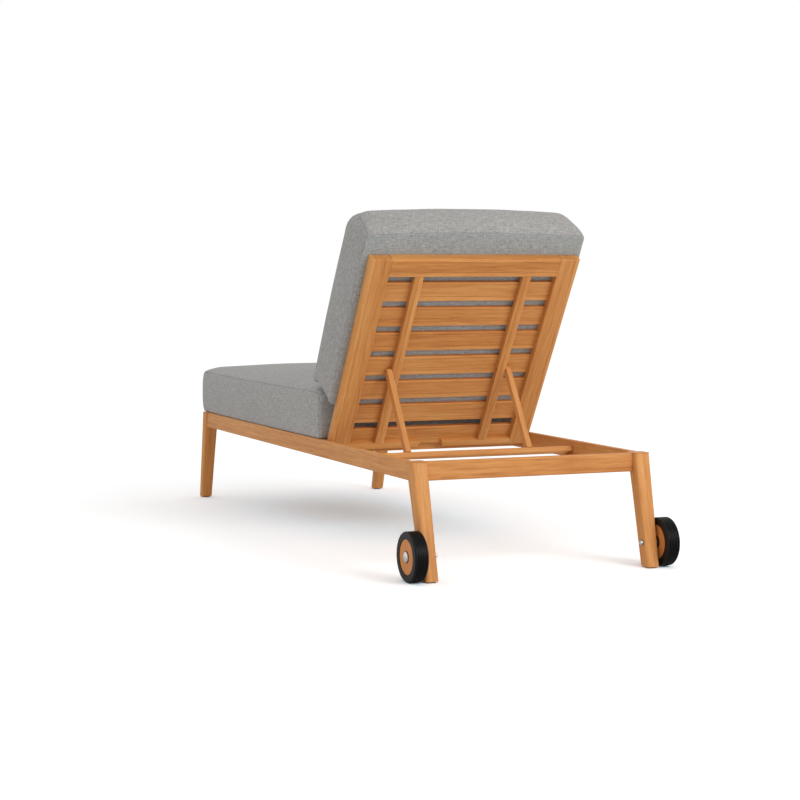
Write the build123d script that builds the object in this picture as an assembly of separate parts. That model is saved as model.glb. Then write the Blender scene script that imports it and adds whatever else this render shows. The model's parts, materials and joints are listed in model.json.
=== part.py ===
from build123d import *
import math
import os

# A single-width wooden chaise lounger on two wheels.
# All sizes are in millimetres, +Z is up, the foot end points to -Y and the head end to +Y.
# The origin is the middle of the footprint, on the floor. Left is the sitter's left, at +X.

# Base frame
rail_length = 1920.0
frame_width = 710.0
rail_top = 312.0
rail_depth = 52.0
rail_edge_radius = 4.0
side_rail_thickness = 19.5
side_rail_inset = 1.5
end_rail_thickness = 22.0
end_rail_setback = 12.0
tenon_length = 17.0
tenon_thickness = 9.0
tenon_height = 34.0

# Legs
leg_top_width = 42.0
leg_top_depth = 42.0
leg_foot_width = 33.0
leg_foot_depth = 33.0
leg_corner_radius = 9.5
leg_end_radius = 2.5
foot_rake = 62.0
glide_radius = 11.5
glide_height = 3.5
glide_chamfer = 1.0

# Wheels
wheel_radius = 67.5
wheel_floor_gap = 1.0
tyre_width = 35.0
tyre_shoulder = 7.0
tyre_groove_count = 5
tyre_groove_width = 2.6
tyre_groove_depth = 2.2
hub_radius = 48.0
hub_face_recess = 2.0
hub_edge_radius = 1.5
hub_ridge_height = 3.0
hub_ridge_width = 12.0
wheel_leg_gap = 12.0
axle_radius = 4.0
axle_clearance = 0.05
wheel_side_play = 0.3
spacer_radius = 9.0
axle_head_radius = 14.0
axle_head_rim = 2.5
axle_head_dome = 4.5
cap_nut_radius = 6.5
cap_nut_rim = 4.0
cap_nut_dome = 3.5
nut_washer_radius = 8.0
nut_washer_thickness = 1.2

# Seat deck
seat_slat_width = 62.0
seat_slat_gap = 24.0
slat_thickness = 12.0
slat_edge_radius = 3.5
slat_end_clearance = 1.5
deck_drop = 1.0
deck_front_gap = 10.0
ledger_width = 18.0
ledger_height = 20.0
ledger_edge_radius = 2.0
seat_batten_width = 28.0
seat_batten_height = 17.0
mid_rail_thickness = 22.0

# Backrest panel, measured up the panel from the height of the rail tops
# and inward from its rear face
recline_from_upright = 31.8
panel_foot_from_head = 693.0
panel_side_clearance = 4.5
panel_thickness = 29.0
panel_top = 630.0
panel_bottom = -39.0
stile_width = 64.0
top_rail_width = 58.0
panel_outer_radius = 8.0
panel_inner_radius = 2.5
back_slat_count = 7
back_slat_width = 65.0
back_slat_housing = 8.0
first_slat_gap = 29.0
batten_width = 28.0
batten_from_stile = 95.0
batten_edge_radius = 1.8
lower_rail_width = 20.0
lower_rail_gap = 72.0
lower_rail_bevel = 7.0

# Hinge of the backrest
hinge_height = -25.5
hinge_depth = 14.5
hinge_pin_radius = 5.0
hinge_clearance = 0.05
hinge_pin_in_rail = 13.0
hinge_bush_radius = 8.0
hinge_bush_length = 24.0
swing_clearance = 4.0

# Prop: two arms and a crossbar that drops into notched racks
prop_pivot_height = 240.0
prop_pivot_depth = 6.5
prop_pin_radius = 4.0
prop_pin_clearance = 0.05
arm_width = 17.0
arm_depth = 20.0
arm_edge_radius = 2.0
arm_side_play = 0.5
arm_tenon_width = 9.0
crossbar_from_head = 420.5
crossbar_z = 285.3
crossbar_depth = 20.0
crossbar_height = 18.0
crossbar_radius = 5.0
crossbar_end_clearance = 3.0

# Notched racks on the side rails
rack_width = 17.0
rack_notch_count = 4
rack_notch_pitch = 47.0
rack_notch_depth = 6.0
rack_notch_half_width = 14.0
rack_end_land = 22.0
rack_front_top = 273.0
rack_rear_top = 266.0
rack_edge_radius = 1.5

# Cushions
cushion_width = 718.0
cushion_clearance = 0.3
cushion_side_bow = 3.0
cushion_end_bow = 4.0
seat_cushion_overhang = 34.0
seat_cushion_from_head = 732.0
seat_seam_height = 139.0
seat_crown = 34.0
seat_base_draw = 15.0
seat_seam_draw = 7.5
seat_foot_corner_radius = 18.0
seat_head_corner_radius = 42.0
seat_crown_foot_run = 359.0
seat_crown_head_run = 700.0
back_cushion_bottom = 84.0
back_cushion_top = 722.0
back_seam_depth = 141.0
back_crown = 44.0
back_foot_lift = 24.0
back_base_draw = 15.0
back_base_end_draw = 17.0
back_seam_draw = 3.0
back_seam_end_draw = 32.0
back_corner_radius = 60.0
back_crown_run = 359.0
side_height_shares = (0.0, 0.16, 0.5, 0.84, 1.0)
side_bulge_shares = (0.0, 0.62, 1.0, 0.66, 0.0)
foot_lift_shares = (1.0, 0.8, 0.6, 0.42, 0.0)
crown_inset_shares = (0.045, 0.16, 0.40, 0.80)
crown_height_shares = (0.50, 0.78, 0.95, 1.0)

sides = {"left": 1, "right": -1}

# Places that follow from the sizes above
axle_z = wheel_radius + wheel_floor_gap
half_width = frame_width / 2
rail_mid_z = rail_top - rail_depth / 2
rail_bottom = rail_top - rail_depth
foot_share = (rail_top - axle_z) / (rail_top - glide_height)
axle_overhang = foot_share * (foot_rake + leg_top_depth / 2) - leg_top_depth / 2
front_overhang = foot_rake + leg_foot_depth / 2
rear_overhang = axle_overhang + wheel_radius
y_foot_end = front_overhang - (rail_length + front_overhang + rear_overhang) / 2
y_head_end = y_foot_end + rail_length
axle_y = y_head_end + axle_overhang
rail_outer_x = half_width - side_rail_inset
rail_inner_x = rail_outer_x - side_rail_thickness
leg_inner_x = half_width - leg_top_width
leg_axle_width = leg_foot_width + (leg_top_width - leg_foot_width) * (1 - foot_share)
leg_axle_outer_x = leg_inner_x + leg_axle_width
wheel_inner_x = leg_axle_outer_x + wheel_leg_gap
wheel_mid_x = wheel_inner_x + tyre_width / 2
hub_width = tyre_width - 2 * hub_face_recess
slat_top = rail_top - deck_drop
slat_bottom = slat_top - slat_thickness

# The backrest's own frame: x is across, y points out of the rear face, z runs up the panel
lean = math.radians(recline_from_upright)
panel_up = Vector(0, math.sin(lean), math.cos(lean))
panel = Plane(origin=(0, y_head_end - panel_foot_from_head, rail_top), x_dir=(1, 0, 0), z_dir=panel_up)
panel_width = 2 * (rail_inner_x - panel_side_clearance)
slat_setback = panel_thickness - slat_thickness
panel_slat_mid = -slat_setback - slat_thickness / 2
hinge = panel.from_local_coords(Vector(0, -hinge_depth, hinge_height))
prop_pivot = panel.from_local_coords(Vector(0, -prop_pivot_depth, prop_pivot_height))
crossbar_centre = Vector(0, y_head_end - crossbar_from_head, crossbar_z)
arm_vector = crossbar_centre - prop_pivot
arm_length = arm_vector.length
panel_heel = math.hypot(hinge_height - panel_bottom, hinge_depth)
mid_rail_rear_y = hinge.Y - panel_heel - swing_clearance
stile_inner_x = panel_width / 2 - stile_width
batten_mid_x = stile_inner_x - batten_from_stile
batten_outer_x = batten_mid_x + batten_width / 2
arm_mid_x = batten_outer_x + arm_side_play + arm_width / 2

# The prop's own frame: x is across, y points rearward out of the arm, z runs from bar to pivot
prop = Plane(origin=prop_pivot, x_dir=(1, 0, 0), z_dir=-arm_vector.normalized())


def beam_x(x_low, x_high, y_mid, z_mid, depth, height, radius):
    """A bar along X with rounded long edges."""
    section = Plane.YZ.offset(x_low) * Pos(y_mid, z_mid) * RectangleRounded(depth, height, radius)
    return extrude(section, x_high - x_low)


def beam_y(y_low, y_high, x_mid, z_mid, width, height, radius):
    """A bar along Y with rounded long edges."""
    section = Plane.ZX.offset(y_low) * Pos(z_mid, x_mid) * RectangleRounded(height, width, radius)
    return extrude(section, y_high - y_low)


def beam_z(z_low, z_high, x_mid, y_mid, width, depth, radius):
    """A bar along Z with rounded long edges."""
    section = Plane.XY.offset(z_low) * Pos(x_mid, y_mid) * RectangleRounded(width, depth, radius)
    return extrude(section, z_high - z_low)


def rod_x(x_low, x_high, y_mid, z_mid, radius):
    """A round rod along X."""
    section = Plane.YZ.offset(x_low) * Pos(y_mid, z_mid) * Circle(radius)
    return extrude(section, x_high - x_low)


def turned_x(outline, x_base, side, y_mid, z_mid):
    """Turn an outline of distance and radius about an axis along X, built outward from x_base."""
    place = Plane(origin=(x_base, y_mid, z_mid), x_dir=(side, 0, 0), z_dir=(0, 0, 1))
    return place * revolve(outline, Axis.X)


def leg_section(side, end, width, depth, overhang, z):
    """A leg's horizontal section: its inner face is plumb and its middle rakes outward."""
    y_end = y_head_end if end > 0 else y_foot_end
    place = Plane(origin=(side * (leg_inner_x + width / 2), y_end + end * overhang, z))
    return place * Rectangle(width, depth)


def leg_blank(side, end):
    """A raked leg with sharp corners, wide at the top and narrow at the foot."""
    foot = leg_section(side, end, leg_foot_width, leg_foot_depth, foot_rake, glide_height)
    top = leg_section(side, end, leg_top_width, leg_top_depth, -leg_top_depth / 2, rail_top)
    return loft([foot.face(), top.face()], ruled=True)


def side_tenon(side, end):
    """The side rail's tenon, which reaches into the leg."""
    y_end = y_head_end if end > 0 else y_foot_end
    y_tip = y_end - end * (leg_top_depth - tenon_length)
    y_root = y_end - end * (leg_top_depth + tenon_length)
    x_mid = (rail_outer_x + rail_inner_x) / 2
    place = Pos(side * x_mid, (y_tip + y_root) / 2, rail_mid_z)
    return place * Box(tenon_thickness, 2 * tenon_length, tenon_height)


def end_tenon(side, end):
    """The front or rear rail's tenon, which reaches into the leg."""
    x_mid = side * leg_inner_x
    place = Pos(x_mid, end_rail_y(end), rail_mid_z)
    return place * Box(2 * tenon_length, tenon_thickness, tenon_height)


def end_rail_y(end):
    y_end = y_head_end if end > 0 else y_foot_end
    return y_end - end * (end_rail_setback + end_rail_thickness / 2)


def make_leg(side, end):
    leg = leg_blank(side, end)
    flat_edges = leg.edges().filter_by(Plane.XY)
    leg = fillet(leg.edges() - flat_edges, leg_corner_radius)
    leg = fillet(leg.faces().sort_by(Axis.Z)[-1].edges(), leg_end_radius)
    leg = leg - side_tenon(side, end) - end_tenon(side, end)
    if end > 0:
        leg = leg - axle_hole(side)
    return leg


def axle_hole(side):
    ends = sorted((side * (leg_inner_x - leg_top_width), side * (half_width + leg_top_width)))
    return rod_x(ends[0], ends[1], axle_y, axle_z, axle_radius)


def make_side_rail(side):
    x_mid = side * (rail_outer_x + rail_inner_x) / 2
    y_low = y_foot_end + leg_top_depth / 2
    y_high = y_head_end - leg_top_depth / 2
    rail = beam_y(y_low, y_high, x_mid, rail_mid_z, side_rail_thickness, rail_depth, rail_edge_radius)
    rail = rail - leg_blank(side, -1) - leg_blank(side, 1)
    rail = rail.solids().sort_by(SortBy.VOLUME)[-1]
    rail = rail + side_tenon(side, -1) + side_tenon(side, 1)
    return rail - hinge_pin(side)


def make_end_rail(end):
    rail = beam_x(-leg_inner_x, leg_inner_x, end_rail_y(end), rail_mid_z,
                  end_rail_thickness, rail_depth, rail_edge_radius)
    return rail + end_tenon(-1, end) + end_tenon(1, end)


def make_glide(side, end):
    """A round glide under a leg."""
    x_mid = side * (leg_inner_x + leg_foot_width / 2)
    y_end = y_head_end if end > 0 else y_foot_end
    glide = Cylinder(glide_radius, glide_height, align=(Align.CENTER, Align.CENTER, Align.MIN))
    glide = chamfer(glide.faces().sort_by(Axis.Z)[0].edges(), glide_chamfer)
    return Pos(x_mid, y_end + end * foot_rake, 0) * glide


def tyre_outline():
    """Half of the tyre's section: ribs between rounded shoulders, and a groove for the hub."""
    half = tyre_width / 2
    body = Pos(0, (hub_radius + wheel_radius) / 2) * Rectangle(tyre_width, wheel_radius - hub_radius)
    outer = body.vertices().group_by(Axis.Y)[-1]
    body = fillet(outer, tyre_shoulder)
    pitch = (tyre_width - 2 * tyre_shoulder) / (tyre_groove_count - 1)
    for index in range(tyre_groove_count):
        x_mid = tyre_shoulder - half + index * pitch
        left = (x_mid - tyre_groove_width / 2, wheel_radius)
        right = (x_mid + tyre_groove_width / 2, wheel_radius)
        bottom = (x_mid, wheel_radius - tyre_groove_depth)
        body = body - make_face(Polyline(left, bottom, right, close=True))
    ridge = Pos(0, hub_radius) * Rectangle(hub_ridge_width, 2 * hub_ridge_height)
    return body - ridge


def hub_outline():
    """Half of the hub's section: a wooden disc with a ridge that holds the tyre."""
    bore = axle_radius + axle_clearance
    disc = Pos(0, (bore + hub_radius) / 2) * Rectangle(hub_width, hub_radius - bore)
    disc = fillet(disc.vertices().group_by(Axis.Y)[-1], hub_edge_radius)
    return disc + Pos(0, hub_radius) * Rectangle(hub_ridge_width, 2 * hub_ridge_height)


def dome_outline(radius, rim, dome):
    """A round head: a straight rim that rises to a domed face."""
    ball = (radius ** 2 + dome ** 2) / (2 * dome)
    half_turn = math.asin(radius / ball) / 2
    crest = (rim + dome - ball + ball * math.cos(half_turn), ball * math.sin(half_turn))
    arc = ThreePointArc((rim, radius), crest, (rim + dome, 0))
    lines = Polyline((rim + dome, 0), (0, 0), (0, radius), (rim, radius))
    return make_face(arc + lines)


def make_axle_bolt(side):
    """The axle: a shank through leg, spacer and hub, with a domed head outside the hub."""
    hub_outer_x = wheel_mid_x + hub_width / 2
    head_x = side * (hub_outer_x + wheel_side_play)
    nut_x = side * (leg_inner_x - nut_washer_thickness - cap_nut_rim)
    ends = sorted((nut_x, head_x))
    shank = rod_x(ends[0], ends[1], axle_y, axle_z, axle_radius)
    outline = dome_outline(axle_head_radius, axle_head_rim, axle_head_dome)
    return shank + turned_x(outline, head_x, side, axle_y, axle_z)


def make_cap_nut(side):
    """A domed nut on the leg's inner face, bored for the axle."""
    base_x = side * (leg_inner_x - nut_washer_thickness)
    outline = dome_outline(cap_nut_radius, cap_nut_rim, cap_nut_dome)
    nut = turned_x(outline, base_x, -side, axle_y, axle_z)
    ends = sorted((base_x, base_x - side * cap_nut_rim))
    return nut - rod_x(ends[0], ends[1], axle_y, axle_z, axle_radius)


def washer(x_a, x_b, radius):
    """A ring on the axle between two places along X."""
    ends = sorted((x_a, x_b))
    ring = rod_x(ends[0], ends[1], axle_y, axle_z, radius)
    return ring - rod_x(ends[0], ends[1], axle_y, axle_z, axle_radius)


def make_washer(side):
    """The washer between a leg's inner face and its nut."""
    return washer(side * leg_inner_x, side * (leg_inner_x - nut_washer_thickness), nut_washer_radius)


def make_spacer(side):
    """The spacer that holds the wheel off the leg; its inner end follows the leg's taper."""
    hub_inner_x = wheel_mid_x - hub_width / 2
    ring = washer(side * leg_inner_x, side * (hub_inner_x - wheel_side_play), spacer_radius)
    return ring - leg_blank(side, 1)


def make_seat_slat(index):
    y_mid = seat_span_low + seat_slat_width / 2 + index * seat_slat_pitch
    x_end = rail_inner_x - slat_end_clearance
    z_mid = slat_top - slat_thickness / 2
    return beam_x(-x_end, x_end, y_mid, z_mid, seat_slat_width, slat_thickness, slat_edge_radius)


def make_ledger(side):
    """The strip inside a side rail that carries the ends of the seat slats."""
    x_mid = side * (rail_inner_x - ledger_width / 2)
    y_low = end_rail_y(-1) + end_rail_thickness / 2
    y_high = mid_rail_rear_y - mid_rail_thickness
    z_mid = slat_bottom - ledger_height / 2
    ledger = beam_y(y_low, y_high, x_mid, z_mid, ledger_width, ledger_height, ledger_edge_radius)
    return ledger - leg_blank(side, -1)


def make_seat_batten(side):
    """The strip under the slats that ties them together between the rails."""
    y_low = end_rail_y(-1) + end_rail_thickness / 2
    y_high = mid_rail_rear_y - mid_rail_thickness
    z_mid = slat_bottom - seat_batten_height / 2
    return beam_y(y_low, y_high, side * batten_mid_x, z_mid,
                  seat_batten_width, seat_batten_height, ledger_edge_radius)


def make_mid_rail():
    """The cross rail under the last slat, just ahead of the backrest's swing."""
    height = slat_bottom - rail_bottom
    return beam_x(-rail_inner_x, rail_inner_x, mid_rail_rear_y - mid_rail_thickness / 2,
                  slat_bottom - height / 2, mid_rail_thickness, height, ledger_edge_radius)


def make_rack(side):
    """A notched strip on the inner face of a side rail; its top falls along the crossbar's path."""
    first = crossbar_centre.Y
    y_low = first - rack_end_land
    y_high = first + (rack_notch_count - 1) * rack_notch_pitch + rack_end_land
    outline = Polyline((y_low, rail_bottom), (y_high, rail_bottom), (y_high, rack_rear_top),
                       (y_low, rack_front_top), close=True)
    section = make_face(outline)
    scallop = (rack_notch_half_width ** 2 + rack_notch_depth ** 2) / (2 * rack_notch_depth)
    for index in range(rack_notch_count):
        y_notch = first + index * rack_notch_pitch
        fall = (rack_rear_top - rack_front_top) * (y_notch - y_low) / (y_high - y_low)
        z_circle = rack_front_top + fall - rack_notch_depth + scallop
        section = section - Pos(y_notch, z_circle) * Circle(scallop)
    crests = section.vertices().filter_by(lambda v: v.Y > rail_bottom + rack_edge_radius)
    section = fillet(crests, rack_edge_radius)
    x_low = min(side * rail_inner_x, side * (rail_inner_x - rack_width))
    return extrude(Plane.YZ.offset(x_low) * section, rack_width)


def hinge_pin(side):
    """The steel pin on which the backrest turns, blind in the side rail and in the stile."""
    outer = side * (rail_inner_x + hinge_pin_in_rail)
    inner = side * (panel_width / 2 - hinge_bush_length)
    ends = sorted((outer, inner))
    return rod_x(ends[0], ends[1], hinge.Y, hinge.Z, hinge_pin_radius)


def panel_round(x_a, x_b, y_mid, z_mid, radius):
    """A round rod across the backrest, given in the backrest's own frame."""
    ends = sorted((x_a, x_b))
    return rod_x(ends[0], ends[1], y_mid, z_mid, radius)


def bush_blank(side, radius):
    outer = side * panel_width / 2
    return panel_round(outer, outer - side * hinge_bush_length, -hinge_depth, hinge_height, radius)


def make_hinge_bush(side):
    """The plain bush pressed into a stile, running on the hinge pin."""
    bore = bush_blank(side, hinge_pin_radius + hinge_clearance)
    return panel * (bush_blank(side, hinge_bush_radius) - bore)


def back_slat(index):
    """One slat of the backrest in the backrest's own frame, housed in both stiles."""
    highest = panel_top - top_rail_width - first_slat_gap - back_slat_width / 2
    lowest = panel_bottom + back_slat_width / 2
    z_mid = lowest + index * (highest - lowest) / (back_slat_count - 1)
    x_end = stile_inner_x + back_slat_housing
    return beam_x(-x_end, x_end, panel_slat_mid, z_mid,
                  slat_thickness, back_slat_width, slat_edge_radius)


def stile(side):
    """A side post of the backrest, well rounded along its outer rear edge."""
    x_mid = side * (panel_width / 2 - stile_width / 2)
    section = Pos(x_mid, -panel_thickness / 2) * Rectangle(stile_width, panel_thickness)
    corners = section.vertices()
    outward = Axis((0, 0, 0), (side, 1, 0))
    section = fillet(corners.sort_by(outward)[:-1], panel_inner_radius)
    section = fillet(section.vertices().sort_by(outward)[-1], panel_outer_radius)
    post = extrude(Plane.XY.offset(panel_bottom) * section, panel_top - panel_bottom)
    post = fillet(post.faces().sort_by(Axis.Z)[-1].edges(), panel_inner_radius)
    for index in range(back_slat_count):
        post = post - back_slat(index)
    post = post - top_rail_tenon(side)
    return post - bush_blank(side, hinge_bush_radius)


def top_rail_tenon(side):
    x_mid = side * stile_inner_x
    z_mid = panel_top - top_rail_width / 2
    place = Pos(x_mid, -panel_thickness / 2, z_mid)
    return place * Box(2 * tenon_length, tenon_thickness, tenon_height)


def top_rail():
    """The backrest's top rail between the stiles, well rounded along its upper rear edge."""
    z_mid = panel_top - top_rail_width / 2
    section = Pos(-panel_thickness / 2, z_mid) * Rectangle(panel_thickness, top_rail_width)
    soft = section.vertices().sort_by(Axis((0, 0, 0), (1, 1, 0)))[-1]
    section = fillet(soft, panel_outer_radius)
    lower = section.vertices().group_by(Axis.Y)[0]
    section = fillet(lower, panel_inner_radius)
    rail = extrude(Plane.YZ.offset(-stile_inner_x) * section, 2 * stile_inner_x)
    return rail + top_rail_tenon(-1) + top_rail_tenon(1)


def lower_rail(side):
    """Half of the lower rail behind the lowest slat, with a bevelled inner end."""
    high = panel_bottom + lower_rail_width
    inner = lower_rail_gap / 2
    outline = Polyline((inner + lower_rail_bevel, panel_bottom), (stile_inner_x, panel_bottom),
                       (stile_inner_x, high), (inner, high), close=True)
    plate = extrude(Plane.XZ * make_face(outline), slat_setback)
    plate = fillet(plate.edges().filter_by(Axis.X).group_by(Axis.Y)[-1], batten_edge_radius)
    return plate if side > 0 else mirror(plate, Plane.YZ)


def batten(side):
    """A batten down the back of the slats, from the top rail to the lower rail."""
    low = panel_bottom + lower_rail_width
    high = panel_top - top_rail_width
    post = beam_z(low, high, side * batten_mid_x, -slat_setback / 2,
                  batten_width, slat_setback, batten_edge_radius)
    inner = side * (batten_mid_x - batten_width)
    outer = side * (batten_mid_x + batten_width)
    return post - panel_round(inner, outer, -prop_pivot_depth, prop_pivot_height, prop_pin_radius)


def prop_pin(side):
    """The plain pin through batten and arm, in place and flush with both."""
    inner = side * (batten_outer_x - batten_width)
    outer = side * (arm_mid_x + arm_width / 2)
    pin = panel_round(inner, outer, -prop_pivot_depth, prop_pivot_height, prop_pin_radius)
    return panel * pin


def arm_tenon(side):
    """The arm's tenon, which goes through the crossbar."""
    return Pos(side * arm_mid_x, 0, -arm_length) * Box(arm_width, arm_tenon_width, crossbar_height)


def prop_arm(side):
    """An arm of the prop, round at its pivot and tenoned into the crossbar."""
    low = -arm_length + crossbar_height / 2
    half = arm_depth / 2
    foot = Pos(0, low / 2) * Rectangle(arm_depth, -low)
    section = foot + Circle(half)
    arm = extrude(Plane.YZ.offset(side * arm_mid_x - arm_width / 2) * section, arm_width)
    outer = arm.faces().filter_by(Axis.X).edges().filter_by(Axis.Z)
    arm = fillet(outer, arm_edge_radius)
    bore = prop_pin_radius + prop_pin_clearance
    arm = arm - panel_round(side * (arm_mid_x - arm_width), side * (arm_mid_x + arm_width), 0, 0, bore)
    return arm + arm_tenon(side)


def crossbar():
    """The bar that joins the arms and rests in the racks."""
    x_end = rail_inner_x - crossbar_end_clearance
    bar = beam_x(-x_end, x_end, 0, -arm_length, crossbar_depth, crossbar_height, crossbar_radius)
    return bar - arm_tenon(-1) - arm_tenon(1)


def cushion_corner(x_sign, y_sign, x_side, y_end, radius):
    """Three points of a cushion's round corner, from its side to its end."""
    cut = radius * (1 - math.sqrt(0.5))
    on_side = (x_sign * x_side, y_end - y_sign * radius)
    between = (x_sign * (x_side - cut), y_end - y_sign * cut)
    on_end = (x_sign * (x_side - radius), y_end)
    return on_side, between, on_end


def cushion_ring(half_x, low, high, share, radii):
    """A cushion's closed section of eight arcs: bowed sides and ends between round corners."""
    x_side = half_x - cushion_side_bow * share
    y_foot = low + cushion_end_bow * share
    y_head = high - cushion_end_bow * share
    middle = (low + high) / 2
    right_head = cushion_corner(1, 1, x_side, y_head, radii[1] * share)
    left_head = cushion_corner(-1, 1, x_side, y_head, radii[1] * share)
    left_foot = cushion_corner(-1, -1, x_side, y_foot, radii[0] * share)
    right_foot = cushion_corner(1, -1, x_side, y_foot, radii[0] * share)
    edges = [
        ThreePointArc(right_foot[0], (half_x, middle), right_head[0]),
        ThreePointArc(*right_head),
        ThreePointArc(right_head[2], (0, high), left_head[2]),
        ThreePointArc(*left_head[::-1]),
        ThreePointArc(left_head[0], (-half_x, middle), left_foot[0]),
        ThreePointArc(*left_foot),
        ThreePointArc(left_foot[2], (0, low), right_foot[2]),
        ThreePointArc(*right_foot[::-1]),
    ]
    return make_face(Curve() + edges)


def boxing_rings(low, high, seam, side_draws, end_draws, foot_lift):
    """The sections of a cushion's sides, from its flat back to its seam."""
    rings = []
    full = cushion_width / 2
    for height, bulge, lift in zip(side_height_shares, side_bulge_shares, foot_lift_shares):
        side_draw = side_draws[0] + (side_draws[1] - side_draws[0]) * height
        end_draw = end_draws[0] + (end_draws[1] - end_draws[0]) * height
        end_inset = end_draw * (1 - bulge)
        low_inset = foot_lift * lift if foot_lift else end_inset
        rings.append((height * seam, full - side_draw * (1 - bulge), low + low_inset, high - end_inset))
    return rings


def crown_rings(seam_ring, crown, foot_run, head_run):
    """The sections of a cushion's crowned face, drawn in from its seam."""
    seam, half_x, low, high = seam_ring
    rings = []
    for inset, height in zip(crown_inset_shares, crown_height_shares):
        side = half_x - inset * cushion_width / 2
        rings.append((seam + crown * height, side, low + inset * foot_run, high - inset * head_run))
    return rings


def cushion_solid(rings, radii):
    """A cushion lofted through its sections."""
    faces = []
    for offset, half_x, low, high in rings:
        ring = cushion_ring(half_x, low, high, 2 * half_x / cushion_width, radii)
        faces.append(Plane.XY.offset(offset) * ring)
    return loft([face.face() for face in faces], ruled=True)


def make_seat_cushion():
    draws = (seat_base_draw, seat_seam_draw)
    low = y_foot_end - seat_cushion_overhang
    high = y_head_end - seat_cushion_from_head
    rings = boxing_rings(low, high, seat_seam_height, draws, draws, 0)
    rings += crown_rings(rings[-1], seat_crown, seat_crown_foot_run, seat_crown_head_run)
    radii = (seat_foot_corner_radius, seat_head_corner_radius)
    return Pos(0, 0, rail_top + cushion_clearance) * cushion_solid(rings, radii)


def make_back_cushion():
    """The back cushion; its foot rises towards the panel, over the seat cushion's end."""
    side_draws = (back_base_draw, back_seam_draw)
    end_draws = (back_base_end_draw, back_seam_end_draw)
    rings = boxing_rings(back_cushion_bottom, back_cushion_top, back_seam_depth,
                         side_draws, end_draws, back_foot_lift)
    rings += crown_rings(rings[-1], back_crown, back_crown_run, back_crown_run)
    face = Plane(origin=(0, -panel_thickness - cushion_clearance, 0), x_dir=(1, 0, 0), z_dir=(0, -1, 0))
    return panel * (face * cushion_solid(rings, (back_corner_radius, back_corner_radius)))


def group(shapes):
    """Like fasteners that share one node."""
    return Compound([shape.solid() for shape in shapes])


def pair(maker):
    """The left and right copies of a fastener, as one group."""
    return group([maker(side) for side in sides.values()])


def build_base(parts):
    for name, side in sides.items():
        parts["side_rail_" + name] = make_side_rail(side)
        parts["leg_front_" + name] = make_leg(side, -1)
        parts["leg_rear_" + name] = make_leg(side, 1)
        parts["seat_ledger_" + name] = make_ledger(side)
        parts["seat_batten_" + name] = make_seat_batten(side)
        parts["prop_rack_" + name] = make_rack(side)
        parts["axle_bolt_" + name] = make_axle_bolt(side)
    parts["front_rail"] = make_end_rail(-1)
    parts["rear_rail"] = make_end_rail(1)
    parts["mid_rail"] = make_mid_rail()
    corners = [(side, end) for side in (1, -1) for end in (-1, 1)]
    parts["leg_glides"] = group([make_glide(side, end) for side, end in corners])
    parts["hinge_pins"] = pair(hinge_pin)
    parts["axle_cap_nuts"] = pair(make_cap_nut)
    parts["axle_washers"] = pair(make_washer)
    parts["wheel_spacers"] = pair(make_spacer)
    for index in range(seat_gap_count + 1):
        parts["seat_slat_%02d" % (index + 1)] = make_seat_slat(index)
    parts["seat_cushion"] = make_seat_cushion()


def build_backrest(parts):
    for name, side in sides.items():
        parts["back_stile_" + name] = panel * stile(side)
        parts["back_lower_rail_" + name] = panel * lower_rail(side)
        parts["back_batten_" + name] = panel * batten(side)
    parts["back_top_rail"] = panel * top_rail()
    for index in range(back_slat_count):
        parts["back_slat_%d" % (index + 1)] = panel * back_slat(index)
    parts["hinge_bushes"] = pair(make_hinge_bush)
    parts["prop_pins"] = pair(prop_pin)
    parts["back_cushion"] = make_back_cushion()


def build_prop(parts):
    for name, side in sides.items():
        parts["prop_arm_" + name] = prop * prop_arm(side)
    parts["prop_crossbar"] = prop * crossbar()


def build_wheels(parts):
    for name, side in sides.items():
        parts["tyre_" + name] = turned_x(tyre_outline(), side * wheel_mid_x, side, axle_y, axle_z)
        parts["wheel_hub_" + name] = turned_x(hub_outline(), side * wheel_mid_x, side, axle_y, axle_z)


seat_span_low = end_rail_y(-1) + end_rail_thickness / 2 + deck_front_gap
seat_span = mid_rail_rear_y - seat_span_low
seat_gap_count = round((seat_span - seat_slat_width) / (seat_slat_width + seat_slat_gap))
seat_slat_pitch = (seat_span - seat_slat_width) / seat_gap_count

parts = {}
build_base(parts)
build_backrest(parts)
build_prop(parts)
build_wheels(parts)

os.makedirs("parts", exist_ok=True)
for node, shape in parts.items():
    export_step(shape, os.path.join("parts", node + ".step"))

print("nodes", len(parts))
print("hinge at", [round(value, 3) for value in (hinge.Y, hinge.Z)])
print("prop pivot at", [round(value, 3) for value in (prop_pivot.Y, prop_pivot.Z)])
print("axle at", [round(value, 3) for value in (axle_y, axle_z)])
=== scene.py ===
import json
import math
from collections import namedtuple

import bmesh
import bpy
import numpy as np
from mathutils import Matrix, Vector, noise


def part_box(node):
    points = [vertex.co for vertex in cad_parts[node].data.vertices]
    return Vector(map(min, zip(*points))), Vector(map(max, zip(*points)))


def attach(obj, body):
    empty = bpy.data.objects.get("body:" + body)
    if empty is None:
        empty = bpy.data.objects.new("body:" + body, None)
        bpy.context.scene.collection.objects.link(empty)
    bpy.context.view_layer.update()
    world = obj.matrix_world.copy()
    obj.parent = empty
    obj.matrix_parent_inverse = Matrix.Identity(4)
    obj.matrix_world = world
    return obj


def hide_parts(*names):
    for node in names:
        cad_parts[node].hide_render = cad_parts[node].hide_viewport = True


# The looks of a wooden chaise lounger with two loose cushions. Lengths are in metres, in the
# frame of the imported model: +Z is up, +Y points to the head end and +X to the sitter's left.

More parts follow.
